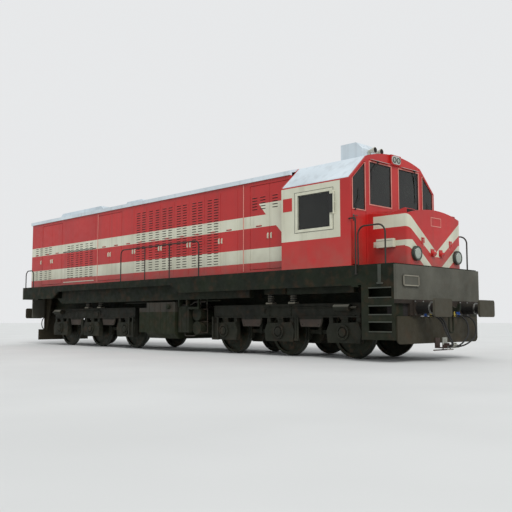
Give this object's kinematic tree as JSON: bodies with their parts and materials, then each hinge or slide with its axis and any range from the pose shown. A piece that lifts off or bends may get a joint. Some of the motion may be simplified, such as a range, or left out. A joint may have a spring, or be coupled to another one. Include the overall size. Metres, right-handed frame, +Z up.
{
  "type": "six-axle diesel-electric locomotive",
  "caption": "Hood-type diesel-electric locomotive with an end cab, red body with cream stripes, on three-axle swivelling bogies, with opening hood and cab doors.",
  "frame": {"origin": "midway between the end plates, on the lowest plane of the wheel flanges", "axes": "+X forward to the cab and nose, +Y to the left-hand side, +Z up"},
  "size_m": [16.94, 3.314, 4.7998],
  "materials": {
    "body_paint": "satin",
    "roof_paint": "satin",
    "frame_paint": "satin",
    "running_gear_paint": "dusty",
    "wheel_steel": "rolled and worn",
    "window_glass": "tinted",
    "hose_rubber": "matte",
    "fitting_metal": "worn",
    "engine_iron": "painted",
    "desk_plastic": "matte",
    "seat_fabric": "woven",
    "lamp_metal": "satin",
    "horn_metal": "satin"
  },
  "bodies": {
    "main": {"air_hoses": "hose_rubber", "aprons": "frame_paint", "buffers": "frame_paint", "cab_front": "body_paint", "cab_glass": "window_glass", "cab_rear_wall": "body_paint", "cab_roof": "roof_paint", "cab_seats": "seat_fabric", "cab_sides": "body_paint", "control_desk": "desk_plastic", "cross_members": "frame_paint", "deck": "frame_paint", "draw_gear": "frame_paint", "engine_block": "engine_iron", "front_steps": "frame_paint", "fuel_tank": "frame_paint", "handrails": "frame_paint", "headstocks": "frame_paint", "hood_rear_wall": "body_paint", "hood_roof": "roof_paint", "hood_sides": "body_paint", "horns": "horn_metal", "hose_fittings": "fitting_metal", "lamps": "lamp_metal", "nose": "body_paint", "roof_unit": "roof_paint", "sills_and_ducts": "frame_paint", "underfloor_equipment": "frame_paint"},
    "front_bogie": {"front_axle_boxes": "running_gear_paint", "front_bogie_cross_beams": "running_gear_paint", "front_bogie_side_frames": "running_gear_paint", "front_brake_gear": "running_gear_paint", "front_traction_motors": "running_gear_paint"},
    "front_wheelset_1": {"front_wheelset_1": "wheel_steel"},
    "front_wheelset_2": {"front_wheelset_2": "wheel_steel"},
    "front_wheelset_3": {"front_wheelset_3": "wheel_steel"},
    "rear_bogie": {"rear_axle_boxes": "running_gear_paint", "rear_bogie_cross_beams": "running_gear_paint", "rear_bogie_side_frames": "running_gear_paint", "rear_brake_gear": "running_gear_paint", "rear_traction_motors": "running_gear_paint"},
    "rear_wheelset_1": {"rear_wheelset_1": "wheel_steel"},
    "rear_wheelset_2": {"rear_wheelset_2": "wheel_steel"},
    "rear_wheelset_3": {"rear_wheelset_3": "wheel_steel"},
    "hood_door_right_rear_a": {"hood_door_right_rear_a": "body_paint"},
    "hood_door_left_rear_a": {"hood_door_left_rear_a": "body_paint"},
    "hood_door_right_rear_b": {"hood_door_right_rear_b": "body_paint"},
    "hood_door_left_rear_b": {"hood_door_left_rear_b": "body_paint"},
    "hood_door_right_mid_a": {"hood_door_right_mid_a": "body_paint"},
    "hood_door_left_mid_a": {"hood_door_left_mid_a": "body_paint"},
    "hood_door_right_mid_b": {"hood_door_right_mid_b": "body_paint"},
    "hood_door_left_mid_b": {"hood_door_left_mid_b": "body_paint"},
    "hood_door_right_front_a": {"hood_door_right_front_a": "body_paint"},
    "hood_door_left_front_a": {"hood_door_left_front_a": "body_paint"},
    "hood_door_right_front_b": {"hood_door_right_front_b": "body_paint"},
    "hood_door_left_front_b": {"hood_door_left_front_b": "body_paint"},
    "cab_door_right": {"cab_door_right": "body_paint", "cab_door_glass_right": "window_glass"},
    "cab_door_left": {"cab_door_left": "body_paint", "cab_door_glass_left": "window_glass"}
  },
  "joints": [
    {"name": "front_bogie_swivel", "type": "hinge", "parent": "main", "child": "front_bogie", "pos_m": [4.25, 0, 1.2], "axis": [0, 0, 1], "range_deg": [-3.5, 3.5]},
    {"name": "front_wheelset_1_spin", "type": "hinge", "parent": "front_bogie", "child": "front_wheelset_1", "pos_m": [2.32, 0, 0.578], "axis": [0, 1, 0], "continuous": true},
    {"name": "front_wheelset_2_spin", "type": "hinge", "parent": "front_bogie", "child": "front_wheelset_2", "pos_m": [4.25, 0, 0.578], "axis": [0, 1, 0], "continuous": true},
    {"name": "front_wheelset_3_spin", "type": "hinge", "parent": "front_bogie", "child": "front_wheelset_3", "pos_m": [6.18, 0, 0.578], "axis": [0, 1, 0], "continuous": true},
    {"name": "rear_bogie_swivel", "type": "hinge", "parent": "main", "child": "rear_bogie", "pos_m": [-4.05, 0, 1.2], "axis": [0, 0, 1], "range_deg": [-3.5, 3.5]},
    {"name": "rear_wheelset_1_spin", "type": "hinge", "parent": "rear_bogie", "child": "rear_wheelset_1", "pos_m": [-5.98, 0, 0.578], "axis": [0, 1, 0], "continuous": true},
    {"name": "rear_wheelset_2_spin", "type": "hinge", "parent": "rear_bogie", "child": "rear_wheelset_2", "pos_m": [-4.05, 0, 0.578], "axis": [0, 1, 0], "continuous": true},
    {"name": "rear_wheelset_3_spin", "type": "hinge", "parent": "rear_bogie", "child": "rear_wheelset_3", "pos_m": [-2.12, 0, 0.578], "axis": [0, 1, 0], "continuous": true},
    {"name": "hood_door_right_rear_a_hinge", "type": "hinge", "parent": "main", "child": "hood_door_right_rear_a", "pos_m": [-7.1, -1.3, 2.07], "axis": [0, 0, 1], "range_deg": [-85, 0]},
    {"name": "hood_door_left_rear_a_hinge", "type": "hinge", "parent": "main", "child": "hood_door_left_rear_a", "pos_m": [-7.1, 1.3, 2.07], "axis": [0, 0, 1], "range_deg": [0, 85]},
    {"name": "hood_door_right_rear_b_hinge", "type": "hinge", "parent": "main", "child": "hood_door_right_rear_b", "pos_m": [-5.78, -1.3, 2.07], "axis": [0, 0, 1], "range_deg": [0, 85]},
    {"name": "hood_door_left_rear_b_hinge", "type": "hinge", "parent": "main", "child": "hood_door_left_rear_b", "pos_m": [-5.78, 1.3, 2.07], "axis": [0, 0, 1], "range_deg": [-85, 0]},
    {"name": "hood_door_right_mid_a_hinge", "type": "hinge", "parent": "main", "child": "hood_door_right_mid_a", "pos_m": [-3.496, -1.3, 2.07], "axis": [0, 0, 1], "range_deg": [-85, 0]},
    {"name": "hood_door_left_mid_a_hinge", "type": "hinge", "parent": "main", "child": "hood_door_left_mid_a", "pos_m": [-3.496, 1.3, 2.07], "axis": [0, 0, 1], "range_deg": [0, 85]},
    {"name": "hood_door_right_mid_b_hinge", "type": "hinge", "parent": "main", "child": "hood_door_right_mid_b", "pos_m": [-2.204, -1.3, 2.07], "axis": [0, 0, 1], "range_deg": [0, 85]},
    {"name": "hood_door_left_mid_b_hinge", "type": "hinge", "parent": "main", "child": "hood_door_left_mid_b", "pos_m": [-2.204, 1.3, 2.07], "axis": [0, 0, 1], "range_deg": [-85, 0]},
    {"name": "hood_door_right_front_a_hinge", "type": "hinge", "parent": "main", "child": "hood_door_right_front_a", "pos_m": [3.424, -1.3, 2.07], "axis": [0, 0, 1], "range_deg": [-85, 0]},
    {"name": "hood_door_left_front_a_hinge", "type": "hinge", "parent": "main", "child": "hood_door_left_front_a", "pos_m": [3.424, 1.3, 2.07], "axis": [0, 0, 1], "range_deg": [0, 85]},
    {"name": "hood_door_right_front_b_hinge", "type": "hinge", "parent": "main", "child": "hood_door_right_front_b", "pos_m": [4.74, -1.3, 2.07], "axis": [0, 0, 1], "range_deg": [0, 85]},
    {"name": "hood_door_left_front_b_hinge", "type": "hinge", "parent": "main", "child": "hood_door_left_front_b", "pos_m": [4.74, 1.3, 2.07], "axis": [0, 0, 1], "range_deg": [-85, 0]},
    {"name": "cab_door_right_hinge", "type": "hinge", "parent": "main", "child": "cab_door_right", "pos_m": [6.742, -1.09, 2.005], "axis": [0, 0, 1], "range_deg": [-85, 0]},
    {"name": "cab_door_left_hinge", "type": "hinge", "parent": "main", "child": "cab_door_left", "pos_m": [6.742, 1.09, 2.005], "axis": [0, 0, 1], "range_deg": [0, 85]}
  ]
}
